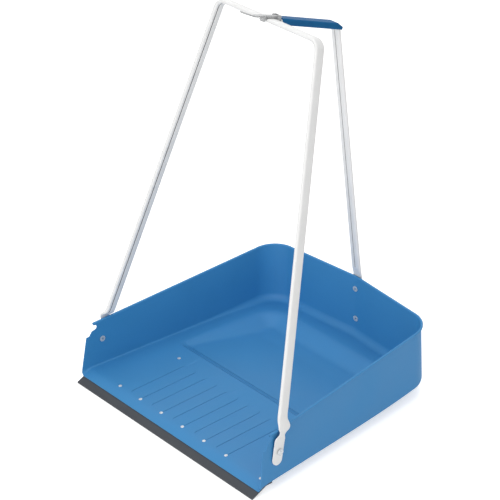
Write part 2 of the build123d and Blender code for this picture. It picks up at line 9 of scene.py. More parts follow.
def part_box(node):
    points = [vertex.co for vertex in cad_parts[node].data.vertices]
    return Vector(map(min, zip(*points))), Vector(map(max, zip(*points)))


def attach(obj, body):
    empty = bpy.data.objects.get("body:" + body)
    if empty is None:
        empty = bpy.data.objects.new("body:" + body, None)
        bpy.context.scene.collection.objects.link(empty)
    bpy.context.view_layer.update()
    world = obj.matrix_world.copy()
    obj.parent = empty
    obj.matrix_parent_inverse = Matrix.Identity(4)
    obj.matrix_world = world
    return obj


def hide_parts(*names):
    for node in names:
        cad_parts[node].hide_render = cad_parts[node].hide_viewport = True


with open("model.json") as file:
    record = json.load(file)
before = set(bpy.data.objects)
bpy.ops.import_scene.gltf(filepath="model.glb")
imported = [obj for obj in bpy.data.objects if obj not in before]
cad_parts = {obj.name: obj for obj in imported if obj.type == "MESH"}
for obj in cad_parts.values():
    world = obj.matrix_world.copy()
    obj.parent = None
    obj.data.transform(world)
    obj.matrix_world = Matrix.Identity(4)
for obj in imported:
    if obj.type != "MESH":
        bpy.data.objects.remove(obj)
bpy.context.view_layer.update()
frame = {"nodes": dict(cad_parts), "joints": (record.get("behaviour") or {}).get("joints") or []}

scene = bpy.context.scene


# The pan is pressed from one sheet of steel: a ramp with the die's lines along its beads, a shallow
# dish behind it, and walls whose fold widens to the back. Its rim is rolled outwards and its front
# is bent down as a lip. It is sprayed blue, with the faint orange peel of a semi-gloss coat.
# Painted shade darkens the blue in the pan's folds, bead grooves and under its rolled rim.
SHEET = 0.001
FRONT_HALF = 0.210
BACK_HALF = 0.182
# Places in depth are counted back from the foot of the walls' front edges, and heights from the ramp
SIDE_DEPTH = 0.387
BACK_PEAK = 0.0155
CORNER_RADIUS = 0.044
CORNER_STEPS = 12
ROUND_PROFILE = 0.5
RIDGE_RADIUS = 0.060
WALL_LEAN = math.radians(3.0)
FOLD_FRONT = 0.003
FOLD_BACK = 0.012
FOLD_GROWTH = 5
FOLD_STEPS = 8
RIM_FRONT = 0.079
RIM_RISE = math.radians(4.16)
HEM_RADIUS = 0.0019
HEM_TURN = math.radians(290)
HEM_STEPS = 12
HEM_PASSES = 4
FRONT_SPARE = 0.0008
PIVOT_DEPTH = 0.0382

LIP_START = 0.021
LIP_ROUND = 0.034
LIP_SLOPE = math.radians(24.0)
LIP_STEPS = 6

CREASE = 0.167
CREASE_HALF = 0.168
CREASE_FALL = 0.0035
CREASE_RUN = 0.0105
GROOVE_HALF = 0.0006
GROOVE_DEPTH = 0.0009
GROOVES = (CREASE, CREASE + CREASE_RUN)
DISH_REAR = 0.357
DISH_REAR_HALF = 0.150
DISH_LEVEL = 0.296
DISH_SLOPE = math.tan(math.radians(30.0))
DISH_CORNER = 0.045
DISH_SPAN = 0.185
DISH_CELL = 0.005
# How much steeper the dish's smooth sides are in their middle than on the whole
EASE_PEAK = 1.5

# Depth and height of points up a wall's front edge, and of the middle of the bite under the hem's end
WALL_EDGE = ((0.0, 0.0), (0.0085, 0.0595), (0.014, 0.060), (0.019, 0.068), (0.0255, 0.0695))
BITE_MIDDLE = (0.0235, 0.0737)
BITE_RADIUS = 0.0045
BITE_FROM = math.radians(-64)
BITE_TO = math.radians(90)
BITE_STEPS = 8
HEM_FRONT = 0.022

BEAD_COUNT = 5
BEAD_PITCH = 0.0502
BEAD_SHIFT = 0.0008
BEAD_WIDTH = 0.0247
BEAD_FRONT = 0.017
BEAD_REAR = 0.136
BEAD_CORNER = 0.009
BEAD_STEPS = 8
BEAD_GAP = 0.0003

PAINT_BLUE = (0.0135, 0.208, 0.48, 1)
PAINT_DEEP = (0.012, 0.198, 0.46, 1)
PAINT_ROUGH = (0.64, 0.72)
PAINT_SHINE = 0.95
# Painted shade: the blue darkens to this colour where the pan's own sheet closes in round a place
PAN_PAINTED_SHADE = (0.004, 0.1, 0.28, 1)
# Painted shade in folds and slots: how far the occlusion looks, and how closed in a place must be to
# darken
CREVICE_REACH = 0.004
CREVICE_SHADE_SPAN = (0.35, 0.85)
TINT_STOPS = (0.35, 0.65)
PEEL_SIZE = 0.0016
PEEL_DEPTH = 0.00002
SPRAY_SIZE = 0.09

pivot = {joint["name"]: Vector(joint["pos_m"]) for joint in frame["joints"]}["bail_fold"]
wall_front = pivot.y - PIVOT_DEPTH
floor_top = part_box("floor_stiffener")[1].z + SHEET
side_angle = math.atan2(FRONT_HALF - BACK_HALF, SIDE_DEPTH)
back_angle = math.atan2(BACK_PEAK, BACK_HALF)
fold_turn = math.pi / 2 + WALL_LEAN
up = Vector((0, 0, 1))
hair = SHEET / 1000


def fold_reach(radius):
    """How far a fold takes up the floor, for its radius."""
    return radius * math.tan(fold_turn / 2)


def foot_half(depth, inset):
    """Half width of a line along the side walls' foot, moved in by an inset."""
    return FRONT_HALF - depth * math.tan(side_angle) - inset / math.cos(side_angle)


back_inset = SHEET + fold_reach(FOLD_BACK)
peak_depth = SIDE_DEPTH + BACK_PEAK - back_inset / math.cos(back_angle)
corner_depth = (peak_depth - BACK_PEAK * foot_half(0, back_inset) / BACK_HALF) / (
    1 - BACK_PEAK * math.tan(side_angle) / BACK_HALF
)
corner_turn = math.pi / 2 - side_angle - back_angle
corner_run = (CORNER_RADIUS - FOLD_BACK) * math.tan(corner_turn / 2)


def fold_radius(depth):
    """Radius of the fold at the walls' foot at a depth, which grows to the back corners."""
    share = min(max(depth / (corner_depth - corner_run), 0), 1)
    return FOLD_FRONT + (FOLD_BACK - FOLD_FRONT) * share ** FOLD_GROWTH


def lip_fall(depth):
    """How far the front bends down below the ramp at a depth."""
    ahead = max(LIP_START - depth, 0)
    bend = min(ahead, LIP_ROUND * math.sin(LIP_SLOPE))
    return LIP_ROUND - math.sqrt(LIP_ROUND ** 2 - bend ** 2) + (ahead - bend) * math.tan(LIP_SLOPE)


def dish_fall(x, depth):
    """How far the dish lies below the ramp at a place."""
    share = min(max((depth - CREASE) / (DISH_LEVEL - CREASE), 0), 1)
    bottom = CREASE_FALL + (floor_top - SHEET - CREASE_FALL) * share
    run = EASE_PEAK * bottom / DISH_SLOPE
    ease = run * (1 - 1 / EASE_PEAK) / 2
    back_share = (depth - CREASE) / (DISH_REAR - CREASE)
    half = CREASE_HALF + (DISH_REAR_HALF - CREASE_HALF) * back_share + ease
    from_side = max(DISH_CORNER - half + abs(x), 0)
    from_rear = max(DISH_CORNER - DISH_REAR - ease + depth, 0)
    inward = min(max((DISH_CORNER - math.hypot(from_side, from_rear)) / run, 0), 1)
    step = min(max((depth - CREASE) / CREASE_RUN, 0), 1)
    groove = 0
    if abs(x) < half - run:
        groove = sum(max(1 - abs(depth - line) / GROOVE_HALF, 0) for line in GROOVES)
    return bottom * step * inward * inward * (3 - 2 * inward) + GROOVE_DEPTH * groove


def every(start, stop, step):
    """Evenly spaced places from start to stop."""
    return [start + step * index for index in range(round((stop - start) / step) + 1)]


def grow(shell, edges, place):
    """Extrude edges and put each new point where its old point's place says."""
    made = bmesh.ops.extrude_edge_only(shell, edges=edges)["geom"]
    points = {item for item in made if isinstance(item, bmesh.types.BMVert)}
    for point in points:
        beside = [edge.other_vert(point) for edge in point.link_edges]
        point.co = place(point, next(vert for vert in beside if vert not in points))
    return [item for item in made if isinstance(item, bmesh.types.BMEdge) and set(item.verts) <= points]


# Flat floor within the fold, with rows of points for the dish
shell = bmesh.new()
front_half = foot_half(-FRONT_SPARE, back_inset)
back_half = foot_half(corner_depth, back_inset)
outline = [
    shell.verts.new((x, wall_front + depth, floor_top))
    for x, depth in (
        (-front_half, -FRONT_SPARE),
        (front_half, -FRONT_SPARE),
        (back_half, corner_depth),
        (0, peak_depth),
        (-back_half, corner_depth),
    )
]
shell.faces.new(outline)
for corners, radius, turn in (
    ((outline[2], outline[4]), CORNER_RADIUS - FOLD_BACK, corner_turn),
    ((outline[3],), RIDGE_RADIUS - FOLD_BACK, 2 * back_angle),
):
    bmesh.ops.bevel(
        shell,
        geom=list(corners),
        offset=radius * math.tan(turn / 2),
        segments=CORNER_STEPS,
        profile=ROUND_PROFILE,
        affect="VERTICES",
        material=-1,
    )
rows = [LIP_START - LIP_ROUND * math.sin(LIP_SLOPE * step / LIP_STEPS) for step in range(LIP_STEPS + 1)]
rows += [line + side * GROOVE_HALF for line in GROOVES for side in (-1, 0, 1)]
rows += every(GROOVES[-1] + DISH_CELL, peak_depth, DISH_CELL)
cuts = [((0, wall_front + depth, 0), (0, 1, 0)) for depth in rows]
cuts += [((x, 0, 0), (1, 0, 0)) for x in every(-DISH_SPAN, DISH_SPAN, DISH_CELL)]
for spot, facing in cuts:
    everything = shell.verts[:] + shell.edges[:] + shell.faces[:]
    bmesh.ops.bisect_plane(shell, geom=everything, dist=hair, plane_co=spot, plane_no=facing)
floor_points = list(shell.verts)

# Fold, wall and rolled rim, grown from the floor's edge
front_y = wall_front - FRONT_SPARE
foot_edges = [
    edge
    for edge in shell.edges
    if edge.is_boundary and max(vert.co.y for vert in edge.verts) > front_y + 10 * hair
]
foot = {}
for edge in foot_edges:
    run = edge.verts[1].co - edge.verts[0].co
    outward = Vector((run.y, -run.x, 0)).normalized()
    if outward.dot(edge.link_faces[0].calc_center_median() - edge.verts[0].co) > 0:
        outward.negate()
    for vert in edge.verts:
        foot[vert] = foot.get(vert, Vector()) + outward
for vert, outward in foot.items():
    spare = fold_reach(FOLD_BACK) - fold_reach(fold_radius(vert.co.y - wall_front))
    vert.co.x += math.copysign(spare / math.cos(side_angle), vert.co.x)
    foot[vert] = (vert.co.copy(), outward.normalized())


def on_fold(turn):
    """Place of a point on the fold, at a turn up from the floor."""
    def place(point, old):
        spot, outward = foot[point] = foot[old]
        depth = spot.y - wall_front
        radius = fold_radius(depth)
        fall = lip_fall(depth) * (1 - turn / fold_turn)
        return spot + radius * math.sin(turn) * outward + (radius * (1 - math.cos(turn)) - fall) * up
    return place


def on_hem(turn):
    """Place of a point on the rolled rim, at a turn out from the wall, found in a few passes."""
    def place(point, old):
        spot, outward = foot[point] = foot[old]
        radius = fold_radius(spot.y - wall_front)
        reach = radius * math.sin(fold_turn)
        rise = RIM_FRONT
        for _ in range(HEM_PASSES):
            out = reach - (rise - radius * (1 - math.cos(fold_turn))) * math.tan(WALL_LEAN) + HEM_RADIUS
            middle = spot + out * outward
            rise = RIM_FRONT + (middle.y - wall_front) * math.tan(RIM_RISE)
        return middle + rise * up + HEM_RADIUS * (math.sin(turn) * up - math.cos(turn) * outward)
    return place


ring = foot_edges
for step in range(1, FOLD_STEPS + 1):
    ring = grow(shell, ring, on_fold(fold_turn * step / FOLD_STEPS))
for step in range(HEM_STEPS + 1):
    ring = grow(shell, ring, on_hem(HEM_TURN * step / HEM_STEPS))

# Dish and lip
for point in floor_points:
    depth = point.co.y - wall_front
    point.co.z -= dish_fall(point.co.x, depth) + lip_fall(depth)


def bead_face(shell, index, margin, rise):
    """A bead's outline as a face, widened by a margin, at a rise above the ramp."""
    middle = BEAD_SHIFT + (index - (BEAD_COUNT - 1) / 2) * BEAD_PITCH
    half = BEAD_WIDTH / 2 + margin
    corners = [
        shell.verts.new((middle + side * half, wall_front + depth, floor_top + rise))
        for side, depth in (
            (-1, BEAD_FRONT - margin),
            (1, BEAD_FRONT - margin),
            (1, BEAD_REAR + margin),
            (-1, BEAD_REAR + margin),
        )
    ]
    shell.faces.new(corners)
    rounded = bmesh.ops.bevel(
        shell,
        geom=corners,
        offset=BEAD_CORNER + margin,
        segments=BEAD_STEPS,
        profile=ROUND_PROFILE,
        affect="VERTICES",
        material=-1,
    )
    return rounded["verts"][0].link_faces[0]


def finished(name, shell):
    """A new object from a bmesh, at the origin."""
    mesh = bpy.data.meshes.new(name)
    shell.to_mesh(mesh)
    shell.free()
    piece = bpy.data.objects.new(name, mesh)
    scene.collection.objects.link(piece)
    return piece


def soften(piece, sharp=math.radians(28)):
    """Shade a piece smooth, except along its sharp edges."""
    shell = bmesh.new()
    shell.from_mesh(piece.data)
    bmesh.ops.remove_doubles(shell, verts=shell.verts, dist=hair)
    for face in shell.faces:
        face.smooth = True
    for edge in shell.edges:
        edge.smooth = edge.calc_face_angle(0) < sharp
    shell.to_mesh(piece.data)
    shell.free()


# Sheet thickness, the walls' shaped front edges, and the bead grooves
pan = finished("pressed_pan", shell)
sheet = pan.modifiers.new("sheet", "SOLIDIFY")
sheet.thickness = SHEET
sheet.offset = -1
sheet.use_even_offset = True
cutter = bmesh.new()
bite = [
    (
        BITE_MIDDLE[0] + BITE_RADIUS * math.cos(BITE_FROM + (BITE_TO - BITE_FROM) * step / BITE_STEPS),
        BITE_MIDDLE[1] + BITE_RADIUS * math.sin(BITE_FROM + (BITE_TO - BITE_FROM) * step / BITE_STEPS),
    )
    for step in range(BITE_STEPS + 1)
]
ahead = -2 * FRONT_SPARE
above = 2 * RIM_FRONT
profile = [(ahead, -SHEET), (0, -SHEET)] + list(WALL_EDGE) + bite
profile += [(HEM_FRONT, bite[-1][1]), (HEM_FRONT, above), (ahead, above)]
side = cutter.faces.new(
    [cutter.verts.new((-2 * FRONT_HALF, wall_front + depth, floor_top + rise)) for depth, rise in profile]
)
across = bmesh.ops.extrude_face_region(cutter, geom=[side])["geom"]
moved = [item for item in across if isinstance(item, bmesh.types.BMVert)]
bmesh.ops.translate(cutter, verts=moved, vec=(4 * FRONT_HALF, 0, 0))

# Grooves that the die leaves along the beads, which run out round their ends
before = set(cutter.verts)
for index in range(BEAD_COUNT):
    middle = bead_face(cutter, index, BEAD_GAP + 2 * GROOVE_HALF, BEAD_GAP)
    for rise in (-GROOVE_DEPTH - BEAD_GAP, GROOVE_DEPTH + BEAD_GAP):
        bmesh.ops.inset_region(
            cutter,
            faces=[middle],
            thickness=GROOVE_HALF,
            depth=rise,
            use_boundary=True,
            use_even_offset=True,
        )
    bmesh.ops.delete(cutter, geom=[middle], context="FACES_ONLY")
    bmesh.ops.bridge_loops(cutter, edges=[edge for edge in cutter.edges if edge.is_boundary])
for point in set(cutter.verts) - before:
    depth = point.co.y - wall_front
    past = max(BEAD_FRONT + BEAD_CORNER - depth, depth - BEAD_REAR + BEAD_CORNER, 0)
    if point.co.z < floor_top:
        point.co.z += (floor_top + BEAD_GAP / 2 - point.co.z) * min(past / BEAD_CORNER, 1)
    point.co.z -= lip_fall(depth)
bmesh.ops.recalc_face_normals(cutter, faces=cutter.faces)
die = finished("die", cutter)
trim = pan.modifiers.new("die", "BOOLEAN")
trim.object = die
trim.operation = "DIFFERENCE"
trim.solver = "EXACT"
whole = bpy.data.meshes.new_from_object(pan.evaluated_get(bpy.context.evaluated_depsgraph_get()))
pan.modifiers.clear()
pan.data = whole
bpy.data.objects.remove(die)
soften(pan)
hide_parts("pan")
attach(pan, "base")


def new_coat(name):
    """A new material, with its shader and the piece's own coordinates."""
    coat = bpy.data.materials.new(name)
    coat.use_nodes = True
    tree = coat.node_tree
    shader = tree.nodes["Principled BSDF"]
    place = tree.nodes.new("ShaderNodeTexCoord").outputs["Object"]
    return coat, tree, shader, place


def grain(tree, place, size, detail=3.0, stretch=None):
    """Noise whose features are about a size across, in metres."""
    if stretch:
        mapping = tree.nodes.new("ShaderNodeMapping")
        mapping.inputs["Scale"].default_value = stretch
        tree.links.new(place, mapping.inputs["Vector"])
        place = mapping.outputs["Vector"]
    noise = tree.nodes.new("ShaderNodeTexNoise")
    noise.inputs["Scale"].default_value = 1 / size
    noise.inputs["Detail"].default_value = detail
    tree.links.new(place, noise.inputs["Vector"])
    return noise.outputs["Fac"]


def spread(tree, value, low, high, least=0.3, most=0.7):
    """A grain's values, from least to most, as a number between low and high."""
    remap = tree.nodes.new("ShaderNodeMapRange")
    remap.inputs["From Min"].default_value = least
    remap.inputs["From Max"].default_value = most
    remap.inputs["To Min"].default_value = low
    remap.inputs["To Max"].default_value = high
    tree.links.new(value, remap.inputs["Value"])
    return remap.outputs["Result"]


def tint(tree, value, low, high):
    """A grain's middle values as a colour between low and high."""
    ramp = tree.nodes.new("ShaderNodeValToRGB")
    for stop, position, colour in zip(ramp.color_ramp.elements, TINT_STOPS, (low, high)):
        stop.position = position
        stop.color = colour
    tree.links.new(value, ramp.inputs["Fac"])
    return ramp.outputs["Color"]


def relief(tree, shader, height, depth):
    """Fine relief on the surface, of a depth in metres."""
    bump = tree.nodes.new("ShaderNodeBump")
    bump.inputs["Strength"].default_value = 1.0
    bump.inputs["Distance"].default_value = depth
    tree.links.new(height, bump.inputs["Height"])
    tree.links.new(bump.outputs["Normal"], shader.inputs["Normal"])


def paint_crevice_shade(tree, colour, shade):
    """A colour with painted shade, which darkens it to a shade colour deep in the folds and slots of a
    piece.
    """
    crevice = tree.nodes.new("ShaderNodeAmbientOcclusion")
    crevice.only_local = True
    crevice.inputs["Distance"].default_value = CREVICE_REACH
    shaded = tree.nodes.new("ShaderNodeMix")
    shaded.data_type = "RGBA"
    shaded.inputs["A"].default_value = shade
    tree.links.new(spread(tree, crevice.outputs["AO"], 0, 1, *CREVICE_SHADE_SPAN), shaded.inputs["Factor"])
    tree.links.new(colour, shaded.inputs["B"])
    return shaded.outputs["Result"]


pan_paint, tree, shader, place = new_coat("pan_paint")
spray = grain(tree, place, SPRAY_SIZE)
# The sprayed blue, darkened with painted shade in the pan's folds and grooves
paint_and_shade = paint_crevice_shade(tree, tint(tree, spray, PAINT_DEEP, PAINT_BLUE), PAN_PAINTED_SHADE)
tree.links.new(paint_and_shade, shader.inputs["Base Color"])
tree.links.new(spread(tree, spray, *PAINT_ROUGH), shader.inputs["Roughness"])
shader.inputs["Specular IOR Level"].default_value = PAINT_SHINE
relief(tree, shader, grain(tree, place, PEEL_SIZE, detail=1.0), PEEL_DEPTH)
pan.data.materials.clear()
pan.data.materials.append(pan_paint)


# The lip is a strip of dark rubber under the pan's front edge, which wipes the floor.
# It is cut from calendered sheet, matt, with a faint nap and chalky scuffs.
RUBBER_DARK = (0.036, 0.041, 0.050, 1)
RUBBER_CHALK = (0.052, 0.058, 0.066, 1)
RUBBER_ROUGH = (0.62, 0.8)
NAP_SIZE = 0.0009
NAP_DEPTH = 0.00008
SCUFF_SIZE = 0.012
SCUFF_STRETCH = (0.25, 1.0, 1.0)


def dress(coat, *nodes):
    """Put a coat on CAD nodes."""
    for name in nodes:
        mesh = frame["nodes"][name].data
        mesh.materials.clear()
        mesh.materials.append(coat)


blade_rubber, tree, shader, place = new_coat("blade_rubber")
scuff = grain(tree, place, SCUFF_SIZE, detail=6.0, stretch=SCUFF_STRETCH)
tree.links.new(tint(tree, scuff, RUBBER_DARK, RUBBER_CHALK), shader.inputs["Base Color"])
tree.links.new(spread(tree, scuff, *RUBBER_ROUGH), shader.inputs["Roughness"])
relief(tree, shader, grain(tree, place, NAP_SIZE, detail=2.0), NAP_DEPTH)
dress(blade_rubber, "lip_rubber")


# The handle is a flat-oval steel tube, bent forward over the pan for the hand. Its foot is pressed
# flat and riveted to the back wall, and a satin white coat covers it.
# The white coat is darkened with painted shade deep in the tube's open seam and other slots.
COAT_WHITE = (0.83, 0.83, 0.825, 1)
COAT_SHADE = (0.80, 0.80, 0.795, 1)
# Painted shade: the white darkens to this colour where the tube closes in round a place
COAT_PAINTED_SHADE = (0.14, 0.14, 0.14, 1)
COAT_ROUGH = (0.34, 0.46)
DRAW_SIZE = 0.03
COAT_PEEL_SIZE = 0.0012
COAT_PEEL_DEPTH = 0.000015

tube_coat, tree, shader, place = new_coat("tube_coat")
draw = grain(tree, place, DRAW_SIZE)
# The satin white, darkened with painted shade in the seam and slots
coat_and_shade = paint_crevice_shade(tree, tint(tree, draw, COAT_SHADE, COAT_WHITE), COAT_PAINTED_SHADE)
tree.links.new(coat_and_shade, shader.inputs["Base Color"])
tree.links.new(spread(tree, draw, *COAT_ROUGH), shader.inputs["Roughness"])
relief(tree, shader, grain(tree, place, COAT_PEEL_SIZE, detail=1.0), COAT_PEEL_DEPTH)
dress(tube_coat, "handle_tube")


# The bail is bent from the same white tube, rolled from strip, whose open seam faces inwards.
# Each leg is bowed out round the hem, crimped to a neck and pressed flat as a round-ended tab,
# which turns on a rivet in the side wall. The right foot sets a little forward.
BAIL_LEAN = math.radians(16.7)
BAIL_REACH = 0.5833
LEG_FOOT = 0.20807
LEG_TOP = 0.104
BEND_RADIUS = 0.015
BEND_STEPS = 10
TUBE_HALF_WIDTH = 0.00875
TUBE_HALF_DEPTH = 0.003
END_STEPS = 10
SEAM_OFFSET = 0.003
SEAM_HALF = 0.0007
SEAM_DEPTH = 0.0024
SEAM_START = 0.002
SEAM_LEAST = 0.1
TAB_END = -0.0225
TAB_HALF_WIDTH = 0.0099
TAB_STEPS = 6
FOOT_STEP = 0.002
# Reach above the pivot, place outwards, place forwards, half width and half depth at points up a foot
TAB_AND_NECK = (
    (-0.018, 0.2079, -0.0005, TAB_HALF_WIDTH, 0.0009),
    (0.016, 0.2080, 0.0041, TAB_HALF_WIDTH, 0.0009),
    (0.021, 0.2083, 0.0043, 0.0094, 0.0009),
    (0.0245, 0.2086, 0.0037, 0.0070, 0.001),
    (0.028, 0.2088, 0.0031, 0.0052, 0.001),
    (0.0315, 0.2090, 0.0029, 0.0062, 0.0011),
)
RIGHT_BOW = (
    (0.036, 0.2091, 0.0027, 0.0100, 0.0013),
    (0.0405, 0.2090, 0.0027, 0.0113, 0.0016),
    (0.0435, 0.2065, 0.0024, 0.0110, 0.002),
    (0.048, 0.2017, 0.0016, 0.0096, 0.0026),
    (0.055, 0.1984, 0.0005, TUBE_HALF_WIDTH, TUBE_HALF_DEPTH),
)
LEFT_BOW = (
    (0.036, 0.2090, 0, 0.0092, 0.0013),
    (0.0398, 0.2087, 0, 0.0095, 0.0016),
    (0.0428, 0.2054, 0, 0.0095, 0.002),
    (0.0465, 0.2014, 0, 0.0092, 0.0026),
    (0.052, 0.1990, 0, TUBE_HALF_WIDTH, TUBE_HALF_DEPTH),
)
STRAIGHT_LEG = (
    (0.066, 0.1963, 0, TUBE_HALF_WIDTH, TUBE_HALF_DEPTH),
    (0.074, 0.1949, 0, TUBE_HALF_WIDTH, TUBE_HALF_DEPTH),
)

right_foot = TAB_AND_NECK + RIGHT_BOW + STRAIGHT_LEG
left_tab = tuple((reach, outward, 0, *section) for reach, outward, forward, *section in TAB_AND_NECK)
left_foot = left_tab + LEFT_BOW + STRAIGHT_LEG
bail_right = Vector((1, 0, 0))
bail_up = Vector((0, math.sin(BAIL_LEAN), math.cos(BAIL_LEAN)))
bail_front = Vector((0, -math.cos(BAIL_LEAN), math.sin(BAIL_LEAN)))


def foot_at(foot, reach):
    """A foot's places, half width and half depth at a reach, as a smooth run through its points."""
    index = next(i for i in range(1, len(foot) - 2) if reach <= foot[i + 1][0])
    before, start, stop, after = foot[index - 1:index + 3]
    share = (reach - start[0]) / (stop[0] - start[0])
    values = []
    for column in (1, 2, 3, 4):
        rise_in = (stop[column] - before[column]) / (stop[0] - before[0]) * (stop[0] - start[0])
        rise_out = (after[column] - start[column]) / (after[0] - start[0]) * (stop[0] - start[0])
        values.append(
            start[column] * (1 + 2 * share) * (1 - share) ** 2
            + rise_in * share * (1 - share) ** 2
            + stop[column] * share ** 2 * (3 - 2 * share)
            - rise_out * share ** 2 * (1 - share)
        )
    return values


def leg_stations(foot):
    """Stations up a leg and round its bend, each with the same five values as a foot's points."""
    stations = []
    for step in range(TAB_STEPS):
        turn = math.pi / 2 * (step + 0.5) / TAB_STEPS
        reach = TAB_END + TAB_HALF_WIDTH * (1 - math.cos(turn))
        share = (reach - foot[0][0]) / (foot[1][0] - foot[0][0])
        forward = foot[0][2] + (foot[1][2] - foot[0][2]) * share
        stations.append((reach, foot[0][1], forward, TAB_HALF_WIDTH * math.sin(turn), foot[0][4]))
    for reach in every(foot[1][0], foot[-2][0], FOOT_STEP):
        stations.append((reach, *foot_at(foot, reach)))
    slant = math.atan2(LEG_FOOT - LEG_TOP, BAIL_REACH)
    bend_turn = math.pi / 2 - slant
    bend_x = LEG_TOP - BEND_RADIUS * math.tan(bend_turn / 2)
    for step in range(BEND_STEPS + 1):
        turn = slant + bend_turn * step / BEND_STEPS
        outward = bend_x + BEND_RADIUS * math.cos(turn)
        reach = BAIL_REACH - BEND_RADIUS * (1 - math.sin(turn))
        stations.append((reach, outward, 0, TUBE_HALF_WIDTH, TUBE_HALF_DEPTH))
    return stations


stations = leg_stations(right_foot)
for reach, outward, *section in reversed(leg_stations(left_foot)):
    stations.append((reach, -outward, *section))


def tube_section(half_width, half_depth):
    """A flat oval, forwards and inwards, with the seam in its inner flat."""
    middle = half_width - half_depth
    seam = SEAM_DEPTH * max(half_depth - SEAM_START, 0) / (TUBE_HALF_DEPTH - SEAM_START)
    seam_half = SEAM_HALF * min(seam / SEAM_DEPTH + SEAM_LEAST, 1)
    arcs = [math.pi * (step / END_STEPS - 0.5) for step in range(END_STEPS + 1)]
    front = [(middle + half_depth * math.cos(turn), half_depth * math.sin(turn)) for turn in arcs]
    rear = [(-forward, -inward) for forward, inward in front]
    slot = [
        (SEAM_OFFSET + side * seam_half, half_depth - sunk)
        for side, sunk in ((1, 0), (1, seam), (-1, seam), (-1, 0))
    ]
    return front + slot + rear


def section_points(index):
    """Points of the tube's section at a station, square to the bail's line there."""
    reach, outward, forward, half_width, half_depth = stations[index]
    last = stations[max(index - 1, 0)]
    following = stations[min(index + 1, len(stations) - 1)]
    along = Vector((following[1] - last[1], following[0] - last[0])).normalized()
    inward = -along.y * bail_right + along.x * bail_up
    middle = pivot + outward * bail_right + reach * bail_up + forward * bail_front
    return [middle + u * bail_front + v * inward for u, v in tube_section(half_width, half_depth)]


shell = bmesh.new()
tab_end = [shell.verts.new(point) for point in section_points(0)]
order = {vert: index for index, vert in enumerate(tab_end)}


def on_tube(index):
    """Place of a point on the tube, at a station along the bail."""
    points = section_points(index)

    def place(point, old):
        order[point] = order[old]
        return points[order[old]]
    return place


ring = list(shell.faces.new(tab_end).edges)
for index in range(1, len(stations)):
    ring = grow(shell, ring, on_tube(index))
bmesh.ops.edgeloop_fill(shell, edges=ring)
bmesh.ops.recalc_face_normals(shell, faces=shell.faces)
bail = finished("bail_tube", shell)
soften(bail)
bail.data.materials.append(tube_coat)
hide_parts("bail")
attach(bail, "bail")


# The rivets, spacers and hidden strips are steel with a bright zinc plate.
# The plate has small grains of differing grey and a slight roughness from the barrel.
ZINC_DARK = (0.5, 0.52, 0.54, 1)
ZINC_LIGHT = (0.74, 0.76, 0.78, 1)
ZINC_ROUGH = (0.36, 0.5)
ZINC_METAL = 0.4
SPANGLE_SIZE = 0.002
BARREL_SIZE = 0.0006
BARREL_DEPTH = 0.00003


def zinc_plate(name, dark, light, metal):
    """Zinc plate in two greys, more or less bare."""
    plate, tree, shader, place = new_coat(name)
    spangle = grain(tree, place, SPANGLE_SIZE, detail=2.0)
    tree.links.new(tint(tree, spangle, dark, light), shader.inputs["Base Color"])
    tree.links.new(spread(tree, spangle, *ZINC_ROUGH), shader.inputs["Roughness"])
    shader.inputs["Metallic"].default_value = metal
    relief(tree, shader, grain(tree, place, BARREL_SIZE, detail=2.0), BARREL_DEPTH)
    return plate


plated_steel = zinc_plate("plated_steel", ZINC_DARK, ZINC_LIGHT, ZINC_METAL)
dress(plated_steel, "lip_clamp_strip", "floor_stiffener", "pivot_spacers", "pivot_rivets", "handle_rivets")


# The latch is a lever of steel strip, which hooks over the bail and turns on a pin in a bent bracket.
# Its plate is older and greyer than the rivets', with little shine left.
LATCH_DARK = (0.3, 0.305, 0.31, 1)
LATCH_LIGHT = (0.52, 0.525, 0.53, 1)
LATCH_METAL = 0.5

latch_steel = zinc_plate("latch_steel", LATCH_DARK, LATCH_LIGHT, LATCH_METAL)
dress(latch_steel, "latch_bracket", "bracket_rivet", "latch_lever", "latch_pin")


# The flat-headed rivets of the lip and of the bar under the ramp are plated steel, set from above.
# Their thin heads lie on the sheet, and those of the lip follow its bend.
HEAD_RADIUS = 0.0027
HEAD_INSET = 0.0033
HEAD_HEIGHT = 0.0003
HEAD_ROUND = 0.00015
HEAD_SIDES = 32
HEAD_ROUND_STEPS = 3
FACING_UP = 0.9
LIP_HEAD_DEPTH = 0.0185
LIP_HEAD_PITCH = 0.050
LIP_HEAD_COUNT = 6


def flat_heads(name, places):
    """Flat rivet heads at places on the pan's floor."""
    heads = bmesh.new()
    for x, depth in places:
        tilt = math.asin(min(max(LIP_START - depth, 0) / LIP_ROUND, 1))
        spot = Matrix.Translation((x, wall_front + depth, floor_top - lip_fall(depth)))
        bmesh.ops.create_cone(
            heads,
            cap_ends=True,
            segments=HEAD_SIDES,
            radius1=HEAD_RADIUS,
            radius2=HEAD_RADIUS,
            depth=2 * HEAD_HEIGHT,
            matrix=spot @ Matrix.Rotation(tilt, 4, "X"),
        )
    heads.normal_update()
    rims = {edge for face in heads.faces if face.normal.z > FACING_UP for edge in face.edges}
    bmesh.ops.bevel(
        heads,
        geom=list(rims),
        offset=HEAD_ROUND,
        segments=HEAD_ROUND_STEPS,
        profile=ROUND_PROFILE,
        affect="EDGES",
        material=-1,
    )
    piece = finished(name, heads)
    soften(piece)
    piece.data.materials.append(plated_steel)
    return piece


